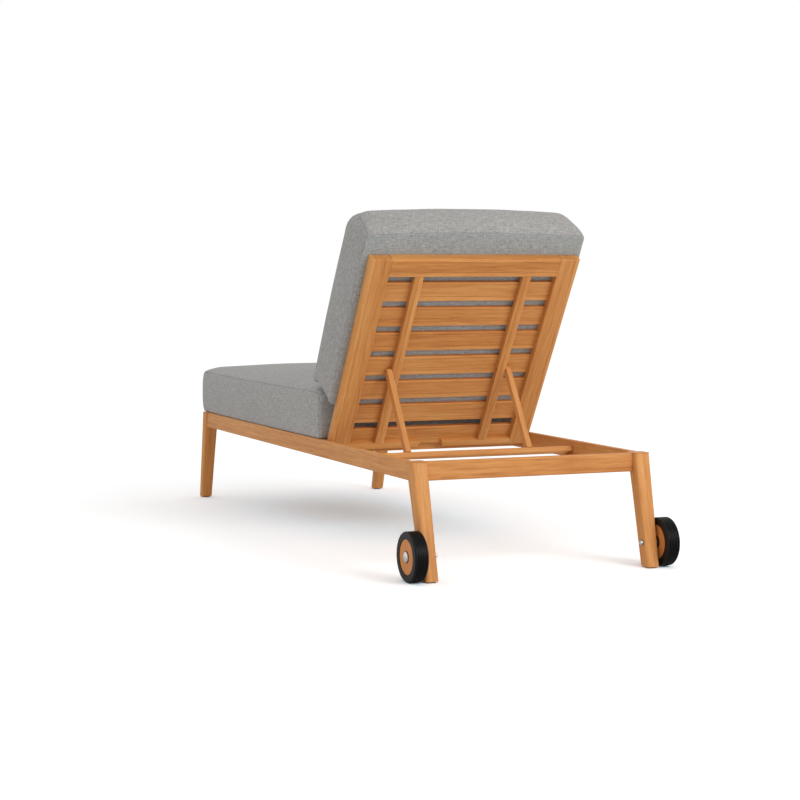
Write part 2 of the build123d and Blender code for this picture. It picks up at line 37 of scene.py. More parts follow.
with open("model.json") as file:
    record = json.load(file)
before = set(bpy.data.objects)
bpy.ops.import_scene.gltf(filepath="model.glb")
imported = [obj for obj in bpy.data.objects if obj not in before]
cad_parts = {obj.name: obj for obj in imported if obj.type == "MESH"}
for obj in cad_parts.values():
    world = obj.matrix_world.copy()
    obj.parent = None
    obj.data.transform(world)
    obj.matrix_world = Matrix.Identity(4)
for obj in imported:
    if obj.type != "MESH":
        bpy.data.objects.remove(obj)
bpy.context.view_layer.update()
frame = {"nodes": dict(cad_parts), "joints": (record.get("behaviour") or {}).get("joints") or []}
nodes = frame["nodes"]
joints = {joint["name"]: joint for joint in frame["joints"]}

x_axis = Vector((1.0, 0.0, 0.0))

# The photograph's camera
photo_width = 800
focal_pixels = 1938.85
sensor_width = 36.0
camera_place = (2.3321, 5.6462, 0.8357)
camera_azimuth = math.radians(157.59)
camera_elevation = math.radians(4.01)
camera_range = 200.0

# The backrest: its lean from upright at rest, and where its hinge lies in it
recline = math.radians(31.8)
hinge_below_foot = 0.0255
panel_thickness = 0.029
hinge_depth = 0.0145
hinge_behind_front = panel_thickness - hinge_depth
panel_up = Vector((0.0, math.sin(recline), math.cos(recline)))
panel_front = Vector((0.0, -math.cos(recline), math.sin(recline)))
cushion_clearance = 0.0003

# The cushions' forms. A panel rolls over from its seam and then crowns; reach and run are how
# far from the sides, the foot end and the head end it takes to do so. The bows draw the corners
# in: sides and ends at the seams, then what they add half way between the seams.
seat_form = {
    "seam": 0.139,
    "roll": 0.0145,
    "crown": 0.0195,
    "base_draw": 0.007,
    "seam_draw": 0.006,
    "corners": (0.014, 0.016, 0.012, 0.012),
    "bows": (0.003, 0.004, 0.003, 0.002),
    "reach": (0.060, 0.040, 0.080),
    "run": (0.300, 0.300, 0.600),
}
back_form = {
    "seam": 0.141,
    "roll": 0.027,
    "crown": 0.017,
    "base_draw": 0.008,
    "seam_draw": 0.0035,
    "corners": (0.010, 0.016, 0.012, 0.058),
    "bows": (0.003, 0.007, 0.007, 0.010),
    "reach": (0.030, 0.030, 0.030),
    "run": (0.300, 0.300, 0.300),
}
seat_overhang_more = 0.003

# The small ears at the seat cushion's upper head corners; points with a share under the least stay
pinch_depth = 0.005
pinch_place = 0.020
pinch_width = 0.010
pinch_least = 0.01

# The back cushion in the backrest's own frame, and how its foot and head draw in over its depth
back_offset = 0.0045
back_foot = 0.084
back_head = 0.720
back_foot_lift = 0.018
back_head_draws = (0.019, 0.032)
lift_places = (0.0, 0.16, 0.5, 0.84, 1.0)
lift_shares = (1.0, 0.97, 0.80, 0.56, 0.0)
bulge_power = 4.0

# The covers' mesh and seams
grid_step = 0.014
edge_steps = (0.003, 0.007, 0.013, 0.022)
boxing_heights = (0.0, 0.022, 0.052, 0.10, 0.17, 0.25, 0.34, 0.43, 0.52, 0.61, 0.70, 0.78, 0.85,
                  0.91, 0.952, 0.978, 1.0)
seam_groove = 0.0022
corner_groove = 0.0010

# The covers' filling; what moves less than still counts as held
fill_frames = 16
fill_cap = 0.004
fill_smoothing = 8
still = 1e-7
corner_hold = 0.6
cloth_settings = {
    "quality": 5,
    "mass": 0.25,
    "tension_stiffness": 20.0,
    "compression_stiffness": 20.0,
    "shear_stiffness": 8.0,
    "bending_stiffness": 3.0,
    "use_pressure": True,
    "uniform_pressure_force": 1.6,
    "shrink_min": -0.008,
}

# The board that stands for the mid rail
mid_board_depth = 0.030
board_bevel = 0.002

# The legs' width and depth at foot and top, as the photograph shows them. A node's points that
# lie within end_reach of a height give the leg's place there; edges taller than long_edge run
# from foot to top.
leg_sections = {
    "leg_front": ((0.038, 0.033), (0.047, 0.042)),
    "leg_rear": ((0.037, 0.045), (0.046, 0.049)),
}
leg_corner = 0.008
leg_top_round = 0.0025
leg_lift = 0.0003
end_reach = 0.003
long_edge = 0.1

# The wheels' section, as the photograph shows it
wheel_widening = 0.004
tyre_bore = 0.048
tyre_shoulder = 0.0045
tyre_groove_count = 6
tyre_groove_width = 0.0026
tyre_groove_depth = 0.0024
tyre_groove_slope = 0.0005
hub_bore = 0.00405
hub_edge = 0.0015
spacer_gap = 0.0005
turn_steps = 144

# How finely the shaped pieces are rounded, and from which angle on an edge is sharp
round_steps = 6
bevel_steps = 3
sharp_angle = math.radians(40.0)


def tree_node(tree, kind, inputs=None, **settings):
    """Add a shader node; an input may be a value or another node's socket."""
    made = tree.nodes.new(kind)
    for name, value in settings.items():
        setattr(made, name, value)
    for name, value in (inputs or {}).items():
        if isinstance(value, bpy.types.NodeSocket):
            tree.links.new(value, made.inputs[name])
        else:
            made.inputs[name].default_value = value
    return made


def new_material(name):
    material = bpy.data.materials.new(name)
    material.use_nodes = True
    shader = material.node_tree.nodes["Principled BSDF"]
    return material, material.node_tree, shader


def ramp(tree, factor, stops):
    """A colour ramp through (place, linear colour) stops."""
    made = tree_node(tree, "ShaderNodeValToRGB", {"Fac": factor})
    elements = made.color_ramp.elements
    while len(elements) < len(stops):
        elements.new(0.5)
    for element, (place, colour) in zip(elements, stops):
        element.position = place
        element.color = (*colour, 1.0)
    return made.outputs["Color"]


def maths(tree, operation, first, second):
    made = tree_node(tree, "ShaderNodeMath", {0: first, 1: second}, operation=operation)
    return made.outputs[0]


def straight(tree, socket, slope, start):
    """A socket's value times a slope, plus a start."""
    made = tree_node(tree, "ShaderNodeMath", {0: socket, 1: slope, 2: start}, operation="MULTIPLY_ADD")
    return made.outputs[0]


def sum_of(tree, parts):
    """The weighted sum of (socket, weight) pairs."""
    total = None
    for socket, weight in parts:
        part = maths(tree, "MULTIPLY", socket, weight)
        total = part if total is None else maths(tree, "ADD", total, part)
    return total


def shaded(tree, colour, shade, strength=1.0):
    """A colour multiplied by a shade."""
    made = tree_node(tree, "ShaderNodeMix", data_type="RGBA", blend_type="MULTIPLY")
    made.inputs[0].default_value = strength
    tree.links.new(colour, made.inputs[6])
    tree.links.new(shade, made.inputs[7])
    return made.outputs[2]


def scaled(tree, vector, factors):
    made = tree_node(tree, "ShaderNodeVectorMath", {0: vector, 1: factors}, operation="MULTIPLY")
    return made.outputs[0]


def facing_share(tree, direction):
    """How far a surface faces a direction, from -1 to 1."""
    facing = tree_node(tree, "ShaderNodeTexCoord").outputs["Normal"]
    made = tree_node(tree, "ShaderNodeVectorMath", {0: facing, 1: direction}, operation="DOT_PRODUCT")
    return made.outputs["Value"]


def noise_value(tree, vector, scale, detail, roughness, distortion=0.0):
    made = tree_node(tree, "ShaderNodeTexNoise", {
        "Vector": vector,
        "Scale": scale,
        "Detail": detail,
        "Roughness": roughness,
        "Distortion": distortion,
    })
    return made.outputs["Fac"]


# A noise of a material: how fine it is along each axis, its character and its share in the colour
Layer = namedtuple("Layer", "scales detail roughness distortion share")


def layered(tree, vector, layer):
    """The value of a noise layer."""
    stretched = scaled(tree, vector, layer.scales)
    return noise_value(tree, stretched, 1.0, layer.detail, layer.roughness, layer.distortion)


def relieve(tree, shader, height, strength, distance):
    """Give a shader a bump of a strength and of a distance in metres."""
    bump = tree_node(tree, "ShaderNodeBump", {"Height": height, "Strength": strength, "Distance": distance})
    tree.links.new(bump.outputs["Normal"], shader.inputs["Normal"])


def grey(value):
    return value, value, value


unchanged = grey(1.0)

# Oiled teak, in linear colour: its figure from broad drifts to flecks, its fibres and its pores
teak_dark = (0.440, 0.150, 0.032)
teak_mid = (0.620, 0.255, 0.066)
teak_light = (0.700, 0.328, 0.100)
teak_pale = (0.780, 0.408, 0.148)
teak_stops = ((0.40, teak_dark), (0.55, teak_mid), (0.66, teak_light), (0.78, teak_pale))
teak_tint = 0.02
figure_layers = (
    Layer((1.6, 16.0, 16.0), 3.0, 0.5, 0.0, 0.20),
    Layer((2.4, 85.0, 85.0), 3.0, 0.55, 0.3, 0.30),
    Layer((10.0, 170.0, 170.0), 3.0, 0.6, 0.4, 0.34),
)
fibre_layer = Layer((24.0, 620.0, 620.0), 3.0, 0.6, 0.0, 0.24)
pore_layer = Layer((42.0, 1500.0, 1500.0), 2.0, 0.5, 0.0, 0.0)
pore_stops = ((0.62, unchanged), (0.76, (0.76, 0.66, 0.56)))
pore_strength = 0.7
fibre_height = 0.6
pore_height = -0.4

# The slope and the start of the roughness over the fibres
fibre_roughness = (0.20, 0.44)

# Painted light along a board's edges: plain wood, a thin painted shadow line, then a painted
# highlight on the edge; the narrow upper edges of the backrest's slats get painted shade
wide_edge_highlight = ((0.10, (0.93, 0.92, 0.90)), (0.36, (0.76, 0.66, 0.56)), (0.62, (1.03, 1.06, 1.09)))
upper_edge_highlight = ((0.10, unchanged), (0.40, (0.86, 0.80, 0.74)), (0.70, (1.10, 1.12, 1.12)))
band_reach = 0.004
# Painted shade on the upward-facing narrow edges of the backrest's slats
top_edge_painted_shade = ((0.75, unchanged), (0.93, (0.84, 0.62, 0.45)))

# A hub's redder wood, and a painted shadow ring in the gap round the axle's head
hub_wood_and_shadow_ring = ((0.7, (0.05, 0.04, 0.03)), (1.0, (0.95, 0.83, 0.71)))
shadow_ring_width = 0.003


def painted_edge_highlight(tree, place, direction, start, stops):
    """Painted light across a board: a thin painted shadow line, then a painted highlight to its edge."""
    along = tree_node(tree, "ShaderNodeVectorMath", {0: place, 1: direction}, operation="DOT_PRODUCT")
    span = tree_node(tree, "ShaderNodeMapRange", {
        "Value": along.outputs["Value"],
        "From Min": start - band_reach,
        "From Max": start + band_reach,
    })
    return ramp(tree, span.outputs["Result"], stops)


def hub_tint_and_shadow_ring(tree, place, centre, radius):
    """A hub's multiplier by the distance from its axle: a painted shadow ring, then redder wood."""
    level = tree_node(tree, "ShaderNodeVectorMath", {0: place, 1: centre}, operation="SUBTRACT")
    flat = scaled(tree, level.outputs[0], (0.0, 1.0, 1.0))
    distance = tree_node(tree, "ShaderNodeVectorMath", {0: flat}, operation="LENGTH")
    span = tree_node(tree, "ShaderNodeMapRange", {
        "Value": distance.outputs["Value"],
        "From Min": radius,
        "From Max": radius + shadow_ring_width,
    })
    return ramp(tree, span.outputs["Result"], hub_wood_and_shadow_ring)


def teak_colour(tree, vector, fibres, pores, tint):
    """The wood's own colour, before the light painted along its edges."""
    figure = [(layered(tree, vector, layer), layer.share) for layer in figure_layers]
    blend = sum_of(tree, figure + [(fibres, fibre_layer.share)])
    colour = ramp(tree, maths(tree, "ADD", blend, tint + teak_tint), teak_stops)
    return shaded(tree, colour, ramp(tree, pores, pore_stops), pore_strength)


def teak(name, turn, shift, tint, bands, is_slat=False, ring=None):
    """Oiled hardwood with its grain along a board, a tint of its own and painted light on its edges."""
    material, tree, shader = new_material(name)
    place = tree_node(tree, "ShaderNodeTexCoord").outputs["Object"]
    mapping = tree_node(tree, "ShaderNodeMapping", {"Vector": place, "Rotation": turn, "Location": shift})
    vector = mapping.outputs["Vector"]
    fibres = layered(tree, vector, fibre_layer)
    pores = layered(tree, vector, pore_layer)
    colour = teak_colour(tree, vector, fibres, pores, tint)
    # Painted highlights and painted shadow lines along the board's edges
    for band in bands:
        colour = shaded(tree, colour, painted_edge_highlight(tree, place, *band))
    # A hub gets a painted shadow ring round its axle's head, and its redder tint
    if ring:
        colour = shaded(tree, colour, hub_tint_and_shadow_ring(tree, place, *ring))
    # A slat's narrow upper edge gets painted shade
    if is_slat:
        colour = shaded(tree, colour, ramp(tree, facing_share(tree, panel_up), top_edge_painted_shade))
    tree.links.new(colour, shader.inputs["Base Color"])
    tree.links.new(straight(tree, fibres, *fibre_roughness), shader.inputs["Roughness"])
    height = sum_of(tree, ((fibres, fibre_height), (pores, pore_height)))
    relieve(tree, shader, height, strength=0.20, distance=0.0005)
    shader.inputs["Specular IOR Level"].default_value = 0.34
    return material


# Heathered fabric, in linear colour: weft, warp, slubs, fine yarn and broad clouds
yarn_dark = (0.200, 0.192, 0.184)
yarn_mid = (0.362, 0.349, 0.336)
yarn_light = (0.540, 0.525, 0.508)
yarn_stops = ((0.36, yarn_dark), (0.50, yarn_mid), (0.64, yarn_light))
weave_layers = (
    Layer((60.0, 420.0, 1.0), 2.0, 0.6, 0.0, 0.36),
    Layer((420.0, 60.0, 1.0), 2.0, 0.6, 0.0, 0.33),
    Layer((18.0, 240.0, 1.0), 2.0, 0.6, 0.0, 0.15),
    Layer((900.0, 1100.0, 1.0), 2.0, 0.6, 0.0, 0.12),
    Layer((5.0, 5.0, 1.0), 2.0, 0.5, 0.0, 0.04),
)
seat_tint = 0.016
back_tint = 0.0
thread_scale = 200.0
thread_height = 0.5

# How dark the painted shade in the seams is, and the slope and start of its patchiness over its noise
seam_painted_shade = ((0.15, unchanged), (0.75, (0.71, 0.70, 0.69)))
seam_shade_patch_scale = 9.0
seam_shade_patch_line = (1.6, -0.15)

# A cooler flat back, which offsets the warm light of the boards behind it
rear_stops = ((0.70, unchanged), (0.95, (0.945, 1.015, 1.035)))


def seam_shade(tree, uv):
    """A multiplier that paints shade into the seams, more in some places than in others."""
    seam = tree_node(tree, "ShaderNodeAttribute", attribute_name="seam").outputs["Fac"]
    spots = noise_value(tree, uv, seam_shade_patch_scale, detail=2.0, roughness=0.5)
    patchy = straight(tree, spots, *seam_shade_patch_line)
    return ramp(tree, maths(tree, "MULTIPLY", seam, patchy), seam_painted_shade)


def thread_wave(tree, uv, direction):
    """The relief of the threads that run one way."""
    made = tree_node(tree, "ShaderNodeTexWave", {
        "Vector": uv,
        "Scale": thread_scale,
        "Distortion": 0.6,
        "Detail": 1.0,
    }, wave_type="BANDS", bands_direction=direction)
    return made.outputs["Fac"]


def fabric(name, tint, is_back=False):
    """Heathered grey outdoor weave; its threads follow the UV map, which is in metres."""
    material, tree, shader = new_material(name)
    uv = tree_node(tree, "ShaderNodeTexCoord").outputs["UV"]
    yarns = sum_of(tree, [(layered(tree, uv, layer), layer.share) for layer in weave_layers])
    blend = maths(tree, "ADD", yarns, tint)
    colour = shaded(tree, ramp(tree, blend, yarn_stops), seam_shade(tree, uv))
    if is_back:
        colour = shaded(tree, colour, ramp(tree, facing_share(tree, -panel_front), rear_stops))
    tree.links.new(colour, shader.inputs["Base Color"])
    weave = maths(tree, "MULTIPLY", thread_wave(tree, uv, "X"), thread_wave(tree, uv, "Y"))
    height = maths(tree, "ADD", maths(tree, "MULTIPLY", weave, thread_height), blend)
    relieve(tree, shader, height, strength=0.30, distance=0.0006)
    shader.inputs["Roughness"].default_value = 0.92
    shader.inputs["Specular IOR Level"].default_value = 0.18
    shader.inputs["Sheen Weight"].default_value = 0.08
    shader.inputs["Sheen Roughness"].default_value = 0.5
    return material


# Rubber, steel and plastic, in linear colour, with how fine their noises are
rubber_stops = ((0.35, (0.0012, 0.0012, 0.0016)), (0.75, (0.0035, 0.0035, 0.004)))
rubber_roughness = ((0.3, grey(0.34)), (0.7, grey(0.48)))
rubber_grain = 900.0
rubber_dust = 45.0
steel_lines = Layer((2400.0, 160.0, 160.0), 3.0, 0.6, 0.0, 0.0)
line_places = (0.3, 0.7)
steel_shade = 0.82
bright_steel = (0.70, 0.71, 0.72)
bright_roughness = (0.26, 0.40)
dark_steel = (0.20, 0.20, 0.21)
dark_roughness = (0.35, 0.50)
plastic_stops = ((0.3, (0.014, 0.014, 0.015)), (0.7, (0.022, 0.022, 0.023)))
plastic_grain = 1500.0


def rubber(name):
    """Dusty black rubber with a fine grain."""
    material, tree, shader = new_material(name)
    place = tree_node(tree, "ShaderNodeTexCoord").outputs["Object"]
    grain = noise_value(tree, place, rubber_grain, detail=3.0, roughness=0.6)
    dust = noise_value(tree, place, rubber_dust, detail=3.0, roughness=0.6)
    tree.links.new(ramp(tree, dust, rubber_stops), shader.inputs["Base Color"])
    tree.links.new(ramp(tree, grain, rubber_roughness), shader.inputs["Roughness"])
    relieve(tree, shader, grain, strength=0.15, distance=0.0004)
    shader.inputs["Specular IOR Level"].default_value = 0.20
    return material


def steel(name, colour, roughness):
    """Brushed stainless steel with fine lines round the X axis."""
    material, tree, shader = new_material(name)
    place = tree_node(tree, "ShaderNodeTexCoord").outputs["Object"]
    lines = layered(tree, place, steel_lines)
    colours = (tuple(steel_shade * value for value in colour), colour)
    roughnesses = (grey(roughness[0]), grey(roughness[1]))
    for values, target in ((colours, "Base Color"), (roughnesses, "Roughness")):
        tree.links.new(ramp(tree, lines, tuple(zip(line_places, values))), shader.inputs[target])
    relieve(tree, shader, lines, strength=0.08, distance=0.0002)
    shader.inputs["Metallic"].default_value = 1.0
    return material


def plastic(name):
    """Matte black plastic."""
    material, tree, shader = new_material(name)
    place = tree_node(tree, "ShaderNodeTexCoord").outputs["Object"]
    grain = noise_value(tree, place, plastic_grain, detail=2.0, roughness=0.5)
    tree.links.new(ramp(tree, grain, plastic_stops), shader.inputs["Base Color"])
    relieve(tree, shader, grain, strength=0.2, distance=0.0002)
    shader.inputs["Roughness"].default_value = 0.55
    return material


# How the grain of each wooden piece runs
grain_kinds = {
    "side_rail": "along", "seat_ledger": "along", "seat_batten": "along", "prop_rack": "along",
    "front_rail": "across", "rear_rail": "across", "mid_rail": "across", "seat_slat": "across",
    "back_slat": "across", "back_top_rail": "across", "back_lower_rail": "across",
    "back_stile": "panel", "back_batten": "panel", "prop_crossbar": "across",
    "prop_arm": "arm", "leg_front": "front leg", "leg_rear": "rear leg", "wheel_hub": "upright",
}
leg_rake = 0.083 / 0.3085

# The painted highlights along the backrest's boards: the edge each follows, its width and its stops
painted_edge_highlights = (
    ("back_slat", -panel_up, 0.0155, wide_edge_highlight),
    ("back_slat", panel_up, 0.0065, upper_edge_highlight),
    ("back_top_rail", -panel_up, 0.0135, wide_edge_highlight),
    ("back_top_rail", panel_up, 0.0075, upper_edge_highlight),
    ("back_stile_left", x_axis, 0.013, wide_edge_highlight),
    ("back_stile_right", -x_axis, 0.013, wide_edge_highlight),
    ("back_batten", -x_axis, 0.014, wide_edge_highlight),
)

# How the boards' figures lie apart in the noise, and how far their tints may differ
board_step = 0.37
wander_along = 2.0
wander_across = 0.35
wander_start = (0.08, 0.09)
wander_seeds = (7.31, 3.77, 0.5)
tint_range = 0.05
tint_seeds = (3.13, 9.2, 4.4)


def grain_axis(kind):
    """The direction in which a kind of board's grain runs."""
    pivot = Vector(joints["prop_swing"]["pos_m"])
    low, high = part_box("prop_crossbar")
    arm = pivot - (low + high) / 2
    return {
        "across": x_axis,
        "along": Vector((0.0, 1.0, 0.0)),
        "upright": Vector((0.0, 0.0, 1.0)),
        "panel": panel_up,
        "arm": Vector((0.0, arm.y, arm.z)),
        "front leg": Vector((0.0, leg_rake, 1.0)),
        "rear leg": Vector((0.0, -leg_rake, 1.0)),
    }[kind].normalized()


def painted_highlights_of(name):
    """A board's painted edge highlights: a direction, the place where each begins, and its stops."""
    found = []
    for start, direction, width, stops in painted_edge_highlights:
        if name.startswith(start):
            edge = max(direction.dot(vertex.co) for vertex in nodes[name].data.vertices)
            found.append((direction, edge - width, stops))
    return found


def ring_of(name):
    """The centre and radius of the axle's head in a wheel's hub, or None."""
    if not name.startswith("wheel_hub"):
        return None
    low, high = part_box(name.replace("wheel_hub", "axle_bolt"))
    return (low + high) / 2, (high.z - low.z) / 2


def board_shift(index):
    """Where a board's figure lies in the noise."""
    board_seed, axis_seed, last_seed = wander_seeds
    wander = [noise.noise(Vector((index * board_seed, axis * axis_seed, last_seed))) for axis in range(3)]
    return (
        wander_along * wander[0] + index * board_step,
        wander_start[0] + wander_across * wander[1],
        wander_start[1] + wander_across * wander[2],
    )


def board_tint(index):
    """What a board's own tint adds to the wood's blend."""
    return tint_range * noise.noise(Vector((index * tint_seeds[0], *tint_seeds[1:])))


def dress_wood():
    """Give each wooden node a teak of its own, so that no two boards share their figure."""
    wooden = sorted(name for name in nodes if name.startswith(tuple(grain_kinds)))
    for index, name in enumerate(wooden):
        kind = next(grain_kinds[start] for start in grain_kinds if name.startswith(start))
        turn = tuple(grain_axis(kind).rotation_difference(x_axis).to_euler())
        shift, tint = board_shift(index), board_tint(index)
        is_slat = name.startswith("back_slat")
        dress(name, teak("teak_" + name, turn, shift, tint, painted_highlights_of(name), is_slat, ring_of(name)))


def dress(name, material):
    """Put a material on every slot of a CAD node's object."""
    for slot in nodes[name].material_slots:
        slot.link = "OBJECT"
        slot.material = material


def dress_fittings():
    black = rubber("tyre_rubber")
    bright = steel("bright_steel", bright_steel, bright_roughness)
    dark = steel("dark_steel", dark_steel, dark_roughness)
    for name in ("tyre_left", "tyre_right"):
        dress(name, black)
    for name in ("axle_bolt_left", "axle_bolt_right", "axle_cap_nuts"):
        dress(name, bright)
    # The wheel spacers wear the dark steel partly as painted shade: it stands in for the shadow between each
    # leg and its hub
    for name in ("axle_washers", "wheel_spacers", "prop_pins", "hinge_pins", "hinge_bushes"):
        dress(name, dark)
    dress("leg_glides", plastic("black_plastic"))


def grid_places(length):
    """Places along a panel from -1 to 1, fine beside the seams and even between them."""
    half = length / 2
    inner = half - edge_steps[-1]
    count = max(2, round(2 * inner / grid_step))
    even = np.linspace(-inner, inner, count + 1)
    edge = half - np.array(edge_steps[:-1])
    return np.concatenate(([-half], -edge, even, edge[::-1], [half])) / half


Ring = namedtuple("Ring", "half_x low high corners side_bow end_bow")


def plan_point(across, along, ring):
    """A point of a panel's plan: a rectangle with bowed sides and round corners."""
    corner = ring.corners[0] if along < 0 else ring.corners[1]
    half_x, half_y = ring.half_x, (ring.high - ring.low) / 2
    x, y = across * half_x, along * half_y
    over_x = (abs(x) - (half_x - corner)) / corner
    over_y = (abs(y) - (half_y - corner)) / corner
    if over_x > 0 and over_y > 0:
        x = math.copysign(half_x - corner + corner * over_x * math.sqrt(1 - over_y * over_y / 2), x)
        y = math.copysign(half_y - corner + corner * over_y * math.sqrt(1 - over_x * over_x / 2), y)
    x_bowed = x * (1 - ring.side_bow / half_x * along * along)
    y_bowed = y * (1 - ring.end_bow / half_y * across * across)
    return x_bowed, y_bowed + (ring.low + ring.high) / 2


def roll_share(distance, reach):
    """How far a panel has rolled over at a distance from its seam, as a quarter turn."""
    return math.sqrt(1 - (1 - min(distance / reach, 1.0)) ** 2)


def crown_share(distance, run):
    return 1 - (1 - min(distance / run, 1.0)) ** 2


class Cushion:
    """A box cushion built as a top panel, a bottom panel and the boxing between them."""

    def __init__(self, name, form, half_x, low, high, ends=None, pinched=False):
        self.name = name
        self.pinched = pinched
        self.form = form
        self.half_x = half_x
        self.low = low
        self.high = high
        self.ends = ends
        self.xs = grid_places(2 * half_x)
        self.ys = grid_places(high - low)
        self.points = []
        self.faces = []
        self.uvs = []
        self.seams = []
        self.corner_seams = []
        self.flat = []

    def outline(self, height):
        """The ring of the cushion at a share of its height."""
        form = self.form
        bulge = abs(2 * height - 1) ** bulge_power
        inset = (form["base_draw"] + (form["seam_draw"] - form["base_draw"]) * height) * bulge
        low, high = self.low + inset, self.high - inset
        if self.ends:
            low, high = self.ends(height, bulge)
        foot_base, foot_seam, head_base, head_seam = form["corners"]
        foot_corner = foot_base + (foot_seam - foot_base) * height
        head_corner = head_base + (head_seam - head_base) * height
        side, end, side_more, end_more = form["bows"]
        side_bow = side + side_more * (1 - bulge)
        end_bow = end + end_more * (1 - bulge)
        return Ring(self.half_x - inset, low, high, (foot_corner, head_corner), side_bow, end_bow)

    def crown(self, across, along, half_x, length):
        """How far the top panel stands above its seam."""
        form = self.form
        distances = (half_x * (1 - abs(across)), length * (1 + along) / 2, length * (1 - along) / 2)
        roll = crown = 1.0
        for distance, reach, run in zip(distances, form["reach"], form["run"]):
            roll *= roll_share(distance, reach)
            crown *= crown_share(distance, run)
        return form["roll"] * roll + form["crown"] * crown

    def keep(self, place):
        """Add a point and return its number."""
        self.points.append(place)
        return len(self.points) - 1

    def panel_row(self, along, height, upper):
        ring = self.outline(height)
        row = []
        for across in self.xs:
            x, y = plan_point(across, along, ring)
            rise = self.crown(across, along, ring.half_x, ring.high - ring.low) if upper else 0.0
            row.append(self.keep((x, y, height * self.form["seam"] + rise)))
        return row

    def panel(self, height, upper):
        """One face of the cushion; returns the rows of its vertices."""
        rows = [self.panel_row(along, height, upper) for along in self.ys]
        for near, far in zip(rows, rows[1:]):
            for i in range(len(near) - 1):
                face = [near[i], near[i + 1], far[i + 1], far[i]]
                face = face if upper else face[::-1]
                self.faces.append(face)
                self.uvs.append([self.points[k][:2] for k in face])
        return rows

    def border(self, rows):
        """The vertices round a panel, anticlockwise from its lowest left corner."""
        right = [row[-1] for row in rows[1:]]
        left = [row[0] for row in rows[-2:0:-1]]
        return rows[0] + right + rows[-1][-2::-1] + left

    def border_shares(self):
        """The places across and along of the border's vertices."""
        bottom = [(x, -1.0) for x in self.xs]
        right = [(1.0, y) for y in self.ys[1:]]
        top = [(x, 1.0) for x in self.xs[-2::-1]]
        left = [(-1.0, y) for y in self.ys[-2:0:-1]]
        return bottom + right + top + left

    def border_ring(self, height):
        """A row of vertices round the boxing at a share of its height."""
        outline = self.outline(height)
        places = [plan_point(across, along, outline) for across, along in self.border_shares()]
        return [self.keep((x, y, height * self.form["seam"])) for x, y in places]

    def lengths_round(self, ring):
        """How far along a ring each of its vertices lies, and at last the whole way round."""
        lengths = [0.0]
        for here, after in zip(ring, ring[1:] + ring[:1]):
            step = Vector(self.points[after]) - Vector(self.points[here])
            lengths.append(lengths[-1] + step.length)
        return lengths

    def boxing(self, base, top):
        """The strip between the panels; its UV map runs on round the cushion."""
        rings = [base] + [self.border_ring(height) for height in boxing_heights[1:-1]] + [top]
        rises = [height * self.form["seam"] for height in boxing_heights]
        lengths = self.lengths_round(base)
        for j in range(len(rings) - 1):
            for k in range(len(base)):
                after = (k + 1) % len(base)
                start, end = lengths[k], lengths[k + 1]
                low, high = rises[j], rises[j + 1]
                self.faces.append([rings[j][k], rings[j][after], rings[j + 1][after], rings[j + 1][k]])
                self.uvs.append([(start, low), (end, low), (end, high), (start, high)])
        return rings

    def pinch_corners(self):
        """Draw the cover in beside its upper head corners, so that they stand out as small ears."""
        middle = Vector((0.0, self.high - self.half_x, 0.0))
        for side in (-1, 1):
            corner = Vector((side * self.half_x, self.high, self.form["seam"]))
            inward = (middle - corner).normalized()
            for index, point in enumerate(self.points):
                distance = (Vector(point) - corner).length
                share = math.exp(-((distance - pinch_place) / pinch_width) ** 2)
                if share > pinch_least:
                    self.points[index] = tuple(Vector(point) + pinch_depth * share * inward)

    def build(self):
        """The cushion's mesh as an object; its seams and flat back are kept as lists."""
        base_rows = self.panel(0.0, False)
        top_rows = self.panel(1.0, True)
        base, top = self.border(base_rows), self.border(top_rows)
        rings = self.boxing(base, top)
        if self.pinched:
            self.pinch_corners()
        shares = self.border_shares()
        corners = [k for k, (across, along) in enumerate(shares) if abs(across * along) == 1.0]
        self.seams = base + top
        self.corner_seams = [ring[k] for ring in rings[1:-1] for k in corners]
        self.flat = [k for row in base_rows for k in row]
        return self.as_object()

    def as_object(self):
        """An object with the cushion's faces, its UV map and a mark on its seams."""
        mesh = bpy.data.meshes.new(self.name)
        mesh.from_pydata(self.points, [], self.faces)
        layer = mesh.uv_layers.new(name="cloth")
        layer.data.foreach_set("uv", [value for face in self.uvs for corner in face for value in corner])
        mesh.polygons.foreach_set("use_smooth", [True] * len(mesh.polygons))
        marks = mesh.attributes.new("seam", "FLOAT", "POINT")
        for index in self.seams + self.corner_seams:
            marks.data[index].value = 1.0
        return placed(self.name, mesh)


def placed(name, data):
    """A new object in the scene with a mesh, a lamp's or a camera's data."""
    made = bpy.data.objects.new(name, data)
    bpy.context.scene.collection.objects.link(made)
    return made


def shaped(piece):
    """A new mesh of a piece as its modifiers shape it."""
    graph = bpy.context.evaluated_depsgraph_get()
    return bpy.data.meshes.new_from_object(piece.evaluated_get(graph), depsgraph=graph)


def coordinates(mesh):
    flat = np.empty(3 * len(mesh.vertices))
    mesh.vertices.foreach_get("co", flat)
    return flat.reshape(-1, 3)


def evened(mesh, moves):
    """Even out how far neighbouring points move, as firm foam does."""
    edges = np.array([tuple(edge.vertices) for edge in mesh.edges])
    links = np.bincount(edges.ravel(), minlength=len(moves)).reshape(-1, 1)
    held = np.linalg.norm(moves, axis=1) < still
    for _ in range(fill_smoothing):
        total = moves.copy()
        np.add.at(total, edges[:, 0], moves[edges[:, 1]])
        np.add.at(total, edges[:, 1], moves[edges[:, 0]])
        moves = total / (links + 1)
        moves[held] = 0.0
    return moves


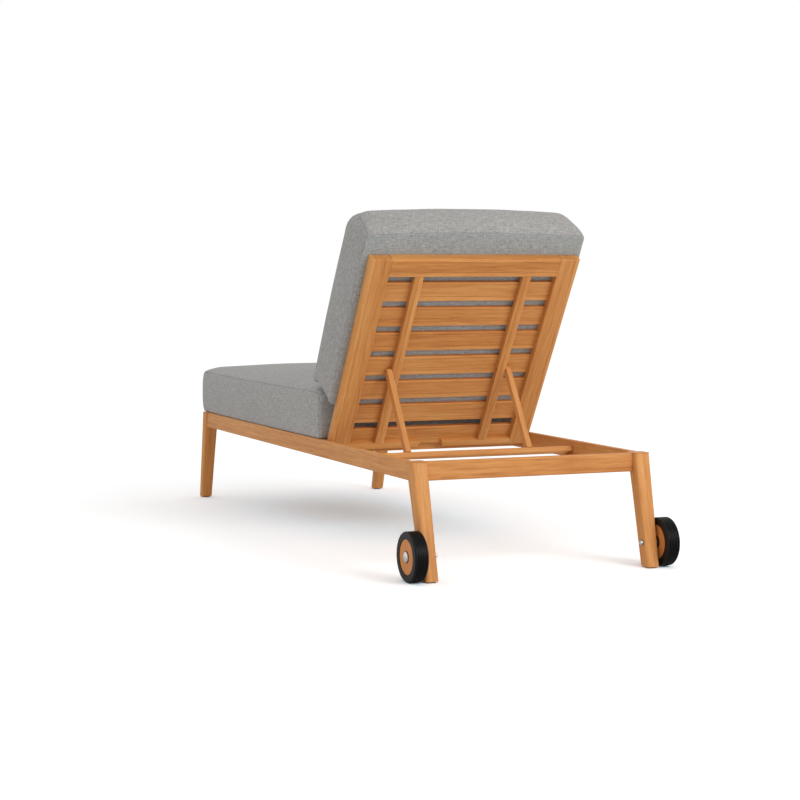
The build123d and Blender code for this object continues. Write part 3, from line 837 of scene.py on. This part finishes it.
def simulated(cushion, piece):
    """Where the cover's points come to rest under the foam's pressure."""
    pins = piece.vertex_groups.new(name="held")
    pins.add(sorted(set(cushion.seams + cushion.flat)), 1.0, "REPLACE")
    pins.add(cushion.corner_seams, corner_hold, "REPLACE")
    modifier = piece.modifiers.new("cover", "CLOTH")
    for name, value in cloth_settings.items():
        setattr(modifier.settings, name, value)
    modifier.settings.vertex_group_mass = "held"
    modifier.settings.effector_weights.gravity = 0.0
    modifier.point_cache.frame_end = fill_frames
    scene = bpy.context.scene
    for step in range(1, fill_frames + 1):
        scene.frame_set(step)
    graph = bpy.context.evaluated_depsgraph_get()
    filled = coordinates(piece.evaluated_get(graph).data)
    piece.modifiers.clear()
    piece.vertex_groups.clear()
    scene.frame_set(1)
    return filled


def fill_with_foam(cushion, piece):
    """Simulate the cover, held at its seams and on its flat back, then even and cap its moves."""
    start = coordinates(piece.data)
    moved = evened(piece.data, simulated(cushion, piece) - start)
    length = np.linalg.norm(moved, axis=1, keepdims=True)
    moved *= np.minimum(1.0, fill_cap / np.maximum(length, still))
    print(piece.name, "filled: moved by up to", round(1000 * float(length.max()), 1), "mm")
    piece.data.vertices.foreach_set("co", (start + moved).ravel())
    piece.data.update()


def sew(cushion, piece):
    """Draw the seams a little into the cushion."""
    vertices = piece.data.vertices
    normals = [vertex.normal.copy() for vertex in vertices]
    for seam, depth in ((cushion.seams, seam_groove), (cushion.corner_seams, corner_groove)):
        for index in seam:
            vertices[index].co -= depth * normals[index]


def finish_form(cushion, matrix):
    """Build, fill and sew a cushion, round it off and put it in its place."""
    piece = cushion.build()
    fill_with_foam(cushion, piece)
    sew(cushion, piece)
    piece.data.transform(matrix)
    piece.data.update()
    modifier = piece.modifiers.new("smooth", "SUBSURF")
    modifier.levels = 1
    modifier.render_levels = 1
    mesh = shaped(piece)
    piece.modifiers.clear()
    piece.data = mesh
    return piece


def make_seat_cushion():
    low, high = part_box("seat_cushion")
    foot = low.y - seat_overhang_more
    cushion = Cushion("seat_cushion_cover", seat_form, high.x, foot, high.y, pinched=True)
    return finish_form(cushion, Matrix.Translation((0.0, 0.0, low.z + cushion_clearance)))


def panel_matrix():
    """The backrest's own frame: X across, Y up the panel and Z out of its front face."""
    hinge = Vector(joints["backrest_recline"]["pos_m"])
    foot = hinge + panel_up * hinge_below_foot + panel_front * (hinge_behind_front + cushion_clearance)
    matrix = Matrix((x_axis, panel_up, panel_front)).transposed().to_4x4()
    matrix.translation = foot
    return matrix


def back_ends(height, bulge):
    """The back cushion's foot rises over the seat cushion, and its head rolls in at both seams."""
    lift = float(np.interp(height, lift_places, lift_shares))
    draw = back_head_draws[0] + (back_head_draws[1] - back_head_draws[0]) * height
    return back_foot + back_foot_lift * lift, back_head - draw * bulge


def make_back_cushion():
    half_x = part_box("back_cushion")[1].x - back_offset
    cushion = Cushion("back_cushion_cover", back_form, half_x, back_foot, back_head, back_ends)
    return finish_form(cushion, Matrix.Translation((back_offset, 0.0, 0.0)) @ panel_matrix())


def stand_in(name, solid, node, body):
    """Make a piece from a solid, which stands for a node and wears its material."""
    bmesh.ops.recalc_face_normals(solid, faces=solid.faces[:])
    mesh = bpy.data.meshes.new(name)
    solid.to_mesh(mesh)
    solid.free()
    mesh.polygons.foreach_set("use_smooth", [True] * len(mesh.polygons))
    mesh.set_sharp_from_angle(angle=sharp_angle)
    mesh.materials.append(nodes[node].material_slots[0].material)
    piece = placed(name, mesh)
    even = piece.modifiers.new("even", "WEIGHTED_NORMAL")
    even.keep_sharp = True
    piece.data = shaped(piece)
    piece.modifiers.clear()
    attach(piece, body)
    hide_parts(node)


def rounded(solid, edges, radius, steps):
    """Round a solid's edges."""
    bmesh.ops.bevel(solid, geom=edges, offset=radius, segments=steps, profile=0.5, affect="EDGES")


def join_rings(solid, near, far):
    """Close the space between two rings of as many vertices."""
    for k in range(len(near)):
        after = (k + 1) % len(near)
        solid.faces.new((near[k], near[after], far[after], far[k]))


def leg_plan(name, z, width, depth):
    """A leg's four corners at a height, whose inner and end faces lie where the node's do."""
    low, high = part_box(name)
    side, end = math.copysign(1.0, low.x), math.copysign(1.0, low.y)
    inner = min(abs(low.x), abs(high.x))
    points = [vertex.co for vertex in nodes[name].data.vertices]
    reach = max(end * point.y for point in points if abs(point.z - z) < end_reach)
    back, outer = reach - depth, inner + width
    plan = ((inner, back), (outer, back), (outer, reach), (inner, reach))
    return [(side * x, end * y, z) for x, y in plan]


def make_leg(name):
    """A raked leg with round edges, a little thicker than its node."""
    low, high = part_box(name)
    solid = bmesh.new()
    foot_size, top_size = leg_sections[name.rsplit("_", 1)[0]]
    foot = [solid.verts.new(place) for place in leg_plan(name, low.z, *foot_size)]
    top = [solid.verts.new(place) for place in leg_plan(name, high.z, *top_size)]
    for vertex in top:
        vertex.co.z += leg_lift
    solid.faces.new(foot)
    solid.faces.new(top[::-1])
    join_rings(solid, foot, top)
    sides = [edge for edge in solid.edges if abs(edge.verts[0].co.z - edge.verts[1].co.z) > long_edge]
    rounded(solid, sides, leg_corner, round_steps)
    rim = [edge for edge in solid.edges if min(vertex.co.z for vertex in edge.verts) > high.z]
    rounded(solid, rim, leg_top_round, bevel_steps)
    stand_in(name + "_shaped", solid, name, "base")


def quarter(centre, radius, start):
    """Points of a quarter round in a section, clockwise from an angle in degrees."""
    angles = [math.radians(start - 90.0 * k / round_steps) for k in range(round_steps + 1)]
    return [(centre[0] + radius * math.cos(angle), centre[1] + radius * math.sin(angle)) for angle in angles]


def tyre_section(inner, outer, radius):
    """The tyre's closed outline as (outward, radius) points, with grooves round its tread."""
    round_place = radius - tyre_shoulder
    groove_floor = radius - tyre_groove_depth
    half = tyre_groove_width / 2
    narrow = half - tyre_groove_slope
    first = inner + tyre_shoulder + tyre_groove_width
    last = outer - tyre_shoulder - tyre_groove_width
    points = [(inner, tyre_bore)]
    points += quarter((inner + tyre_shoulder, round_place), tyre_shoulder, 180.0)
    for place in np.linspace(first, last, tyre_groove_count):
        points += [(place - half, radius), (place - narrow, groove_floor)]
        points += [(place + narrow, groove_floor), (place + half, radius)]
    points += quarter((outer - tyre_shoulder, round_place), tyre_shoulder, 90.0)
    return points + [(outer, tyre_bore)]


def hub_section(inner, outer):
    """The hub's closed outline; its inner face leaves room for the spacer."""
    low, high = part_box("wheel_spacers")
    recess = (high.z - low.z) / 2 + spacer_gap
    seat = inner + wheel_widening
    points = [(seat, hub_bore), (seat, recess), (inner, recess)]
    points += quarter((inner + hub_edge, tyre_bore - hub_edge), hub_edge, 180.0)
    points += quarter((outer - hub_edge, tyre_bore - hub_edge), hub_edge, 90.0)
    return points + [(outer, hub_bore)]


def turned(section, side, centre):
    """Turn a closed outline about a wheel's axle."""
    solid = bmesh.new()
    rings = []
    for k in range(turn_steps):
        angle = 2 * math.pi * k / turn_steps
        up, out = math.sin(angle), math.cos(angle)
        places = [(side * x, centre.y + radius * out, centre.z + radius * up) for x, radius in section]
        rings.append([solid.verts.new(place) for place in places])
    for near, far in zip(rings, rings[1:] + rings[:1]):
        join_rings(solid, near, far)
    return solid


def make_wheel(name):
    """A wheel's tyre and hub, which reach a little nearer to the leg than their nodes do."""
    centre = Vector(joints["wheel_" + name + "_spin"]["pos_m"])
    side = math.copysign(1.0, centre.x)
    for node, slot in (("tyre_" + name, "tyre"), ("wheel_hub_" + name, "teak")):
        low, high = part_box(node)
        inner = min(abs(low.x), abs(high.x)) - wheel_widening
        outer = max(abs(low.x), abs(high.x))
        radius = (high.z - low.z) / 2
        section = tyre_section(inner, outer, radius) if slot == "tyre" else hub_section(inner, outer)
        stand_in(node + "_shaped", turned(section, side, centre), node, "wheel_" + name)


def make_mid_board():
    """The cross board under the last slat, shallow enough to leave the photograph's gap open."""
    low, high = (corner.copy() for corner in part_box("mid_rail"))
    low.z = high.z - mid_board_depth
    solid = bmesh.new()
    bmesh.ops.create_cube(solid, size=1.0)
    size, centre = high - low, (low + high) / 2
    for vertex in solid.verts:
        vertex.co = centre + vertex.co * size
    bmesh.ops.bevel(solid, geom=solid.edges[:], offset=board_bevel, segments=bevel_steps, affect="EDGES")
    stand_in("mid_board", solid, "mid_rail", "base")


def finish_cushion(piece, node, body, material):
    """Dress a cushion's cover, which stands for a node."""
    piece.data.materials.clear()
    piece.data.materials.append(material)
    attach(piece, body)
    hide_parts(node)


# The floor's colour to the camera: it offsets the warm light that the wood casts into the shadow,
# but not beside the tyres and feet, where little of that light falls
floor_size = 60.0
floor_plain = (0.80, 0.80, 0.80, 1.0)
floor_stops = ((0.20, (1.50, 1.95, 2.22)), (0.62, (1.32, 1.37, 1.40)), (0.92, grey(1.28)))
shadow_reach = 0.9
contact_stops = ((0.35, (0.98, 0.90, 0.86)), (0.95, unchanged))
contact_reach = 0.09
shadow_samples = 8

# How bright the world is for lighting, and how much brighter for what is seen
world_light = 0.80
world_seen_more = 0.20


def openness(tree, reach):
    """How open the space is within a reach of a surface."""
    made = tree_node(tree, "ShaderNodeAmbientOcclusion", {"Distance": reach}, samples=shadow_samples)
    return made.outputs["AO"]


def floor_material():
    """Near white to the camera, plain to the light that falls on it."""
    material, tree, shader = new_material("floor_white")
    tree.nodes.remove(shader)
    rays = tree_node(tree, "ShaderNodeLightPath").outputs["Is Camera Ray"]
    plain = tree_node(tree, "ShaderNodeBsdfDiffuse", {"Color": floor_plain})
    shadow = ramp(tree, openness(tree, shadow_reach), floor_stops)
    contact = ramp(tree, openness(tree, contact_reach), contact_stops)
    seen = tree_node(tree, "ShaderNodeBsdfDiffuse", {"Color": shaded(tree, shadow, contact)})
    joined = tree_node(tree, "ShaderNodeMixShader", {0: rays, 1: plain.outputs[0], 2: seen.outputs[0]})
    tree.links.new(joined.outputs[0], tree.nodes["Material Output"].inputs["Surface"])
    return material


def make_floor():
    """A pale floor that reads white where no shadow falls."""
    mesh = bpy.data.meshes.new("floor")
    corners = [(x * floor_size, y * floor_size, 0.0) for x, y in ((-1, -1), (1, -1), (1, 1), (-1, 1))]
    mesh.from_pydata(corners, [], [(0, 1, 2, 3)])
    mesh.materials.append(floor_material())
    floor = placed("floor", mesh)


def make_world():
    """A white world, a little brighter to the camera and in reflections than as a light."""
    world = bpy.data.worlds.new("studio")
    bpy.context.scene.world = world
    world.use_nodes = True
    tree = world.node_tree
    background = tree.nodes["Background"]
    rays = tree_node(tree, "ShaderNodeLightPath").outputs
    seen = maths(tree, "MAXIMUM", rays["Is Camera Ray"], rays["Is Glossy Ray"])
    seen = maths(tree, "MAXIMUM", seen, rays["Is Transmission Ray"])
    background.inputs["Color"].default_value = (*unchanged, 1.0)
    tree.links.new(straight(tree, seen, world_seen_more, world_light), background.inputs["Strength"])


def aim(thing, target):
    thing.rotation_euler = (Vector(target) - thing.location).to_track_quat("-Z", "Y").to_euler()


def make_lamp(name, place, target, size, power):
    light = bpy.data.lights.new(name, "AREA")
    light.shape = "DISK"
    light.size = size
    light.energy = power
    lamp = placed(name, light)
    lamp.location = place
    aim(lamp, target)


def make_camera():
    camera = bpy.data.cameras.new("camera")
    camera.sensor_width = sensor_width
    camera.lens = focal_pixels / photo_width * sensor_width
    camera.clip_end = camera_range
    holder = placed("camera", camera)
    holder.location = camera_place
    holder.rotation_euler = (math.radians(90.0) - camera_elevation, 0.0, camera_azimuth)
    bpy.context.scene.camera = holder


make_camera()
make_world()
make_floor()
make_lamp("key", place=(-1.7, 4.8, 2.6), target=(0.0, 0.0, 0.4), size=2.6, power=80.0)
dress_wood()
dress_fittings()
make_mid_board()
for leg_name in sorted(name for name in nodes if name.startswith(("leg_front", "leg_rear"))):
    make_leg(leg_name)
for wheel_name in ("left", "right"):
    make_wheel(wheel_name)
finish_cushion(make_seat_cushion(), "seat_cushion", "base", fabric("seat_fabric", seat_tint))
back_fabric = fabric("back_fabric", back_tint, is_back=True)
finish_cushion(make_back_cushion(), "back_cushion", "backrest", back_fabric)

bpy.context.scene.view_settings.view_transform = "Standard"
